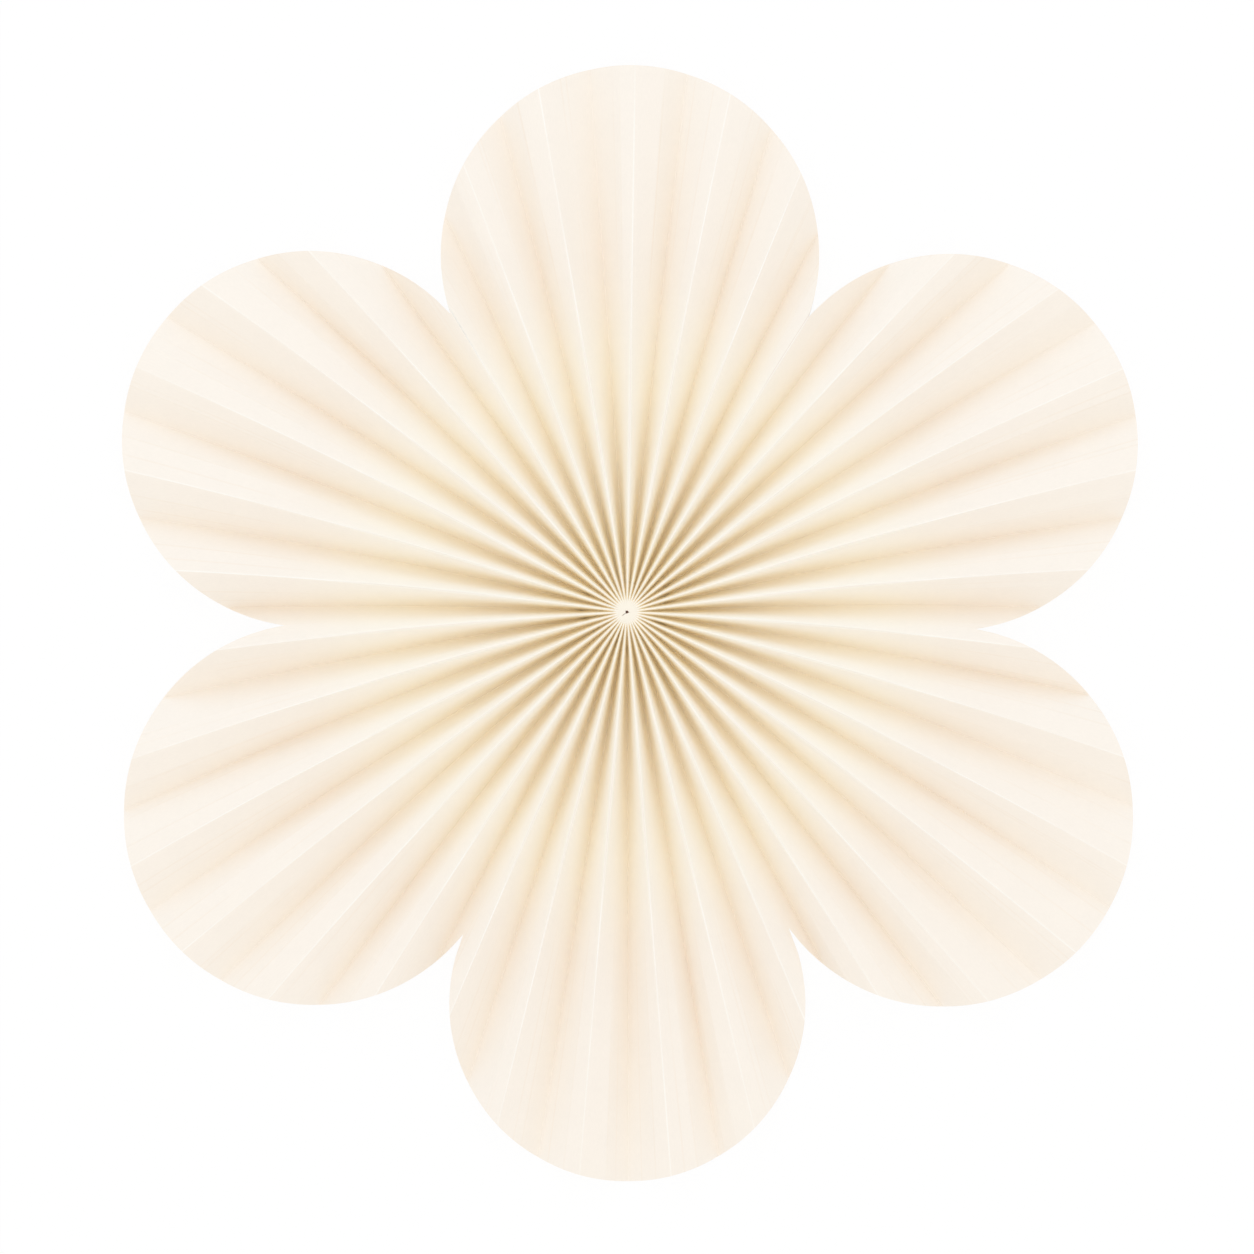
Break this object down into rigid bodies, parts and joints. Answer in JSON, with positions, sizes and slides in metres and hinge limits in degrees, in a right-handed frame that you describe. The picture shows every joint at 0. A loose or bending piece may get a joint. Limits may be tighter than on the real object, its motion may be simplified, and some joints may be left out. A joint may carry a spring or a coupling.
{
  "type": "paper fan rosette",
  "caption": "Pleated card rosette, a fan strip closed into a ring and cut to a round-petalled flower, for hanging on a wall or a gift.",
  "frame": {"origin": "on the hub's axis, on the plane that the hub's back and the valley folds rest on", "axes": "+Z out of the face, towards the viewer; +Y to the top petal; +X to the right-hand notch seen from the front"},
  "size_m": [0.2733, 0.3003, 0.015],
  "materials": {
    "paper": "uncoated warm cream card, matt, with crisp pleats"
  },
  "bodies": {
    "root": {"rosette": "paper"}
  },
  "joints": []
}
